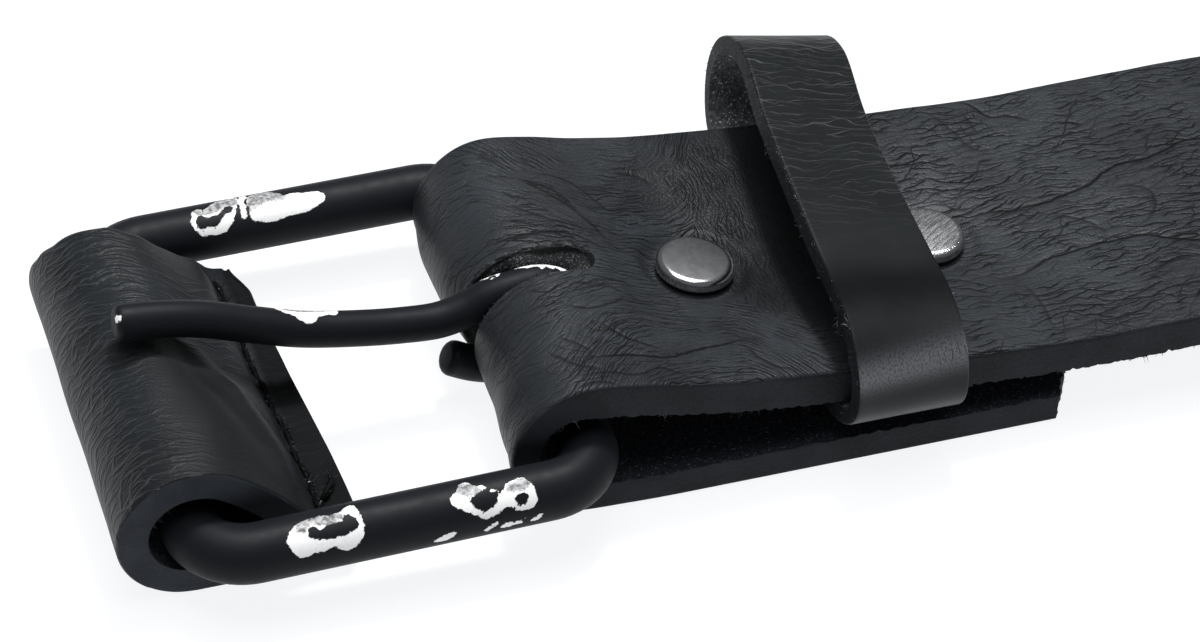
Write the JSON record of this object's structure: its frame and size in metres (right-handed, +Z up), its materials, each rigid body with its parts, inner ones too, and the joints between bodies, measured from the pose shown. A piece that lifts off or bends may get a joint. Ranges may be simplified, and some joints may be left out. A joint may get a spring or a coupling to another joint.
{
  "type": "belt buckle end with riveted leather strap",
  "caption": "Leather strap folded round a wire buckle and riveted to its own tail, with a prong, a stitched leather sleeve on the outer bar and a loose keeper loop.",
  "frame": {"origin": "under the middle of the whole part's box, on the surface that it lies on", "axes": "+X along the belt from the buckle to the strap's free end, +Y across the belt, +Z up"},
  "size_m": [0.1184, 0.0484, 0.0195],
  "materials": {
    "strap_leather": "satin black, finely creased",
    "sleeve_leather": "satin black, wrinkled round the bar",
    "keeper_leather": "smooth satin black",
    "black_paint": "satin black, chipped to bare metal in places",
    "dark_nickel": "worn dark nickel"
  },
  "bodies": {
    "strap": {"strap": "strap_leather", "keeper": "keeper_leather", "rivet_1_cap": "dark_nickel", "rivet_1_back": "dark_nickel", "rivet_2_cap": "dark_nickel", "rivet_2_back": "dark_nickel"},
    "buckle": {"buckle_frame": "black_paint", "bar_sleeve": "sleeve_leather"},
    "prong": {"prong": "black_paint"}
  },
  "joints": [
    {"name": "buckle_swing", "type": "hinge", "parent": "strap", "child": "buckle", "pos_m": [-0.01883, -0.00115, 0.0067], "axis": [0, 1, 0], "range_deg": [0, 35]},
    {"name": "prong_swing", "type": "hinge", "parent": "buckle", "child": "prong", "pos_m": [-0.01883, -0.00115, 0.0067], "axis": [0, 1, 0], "range_deg": [0, 40]}
  ]
}
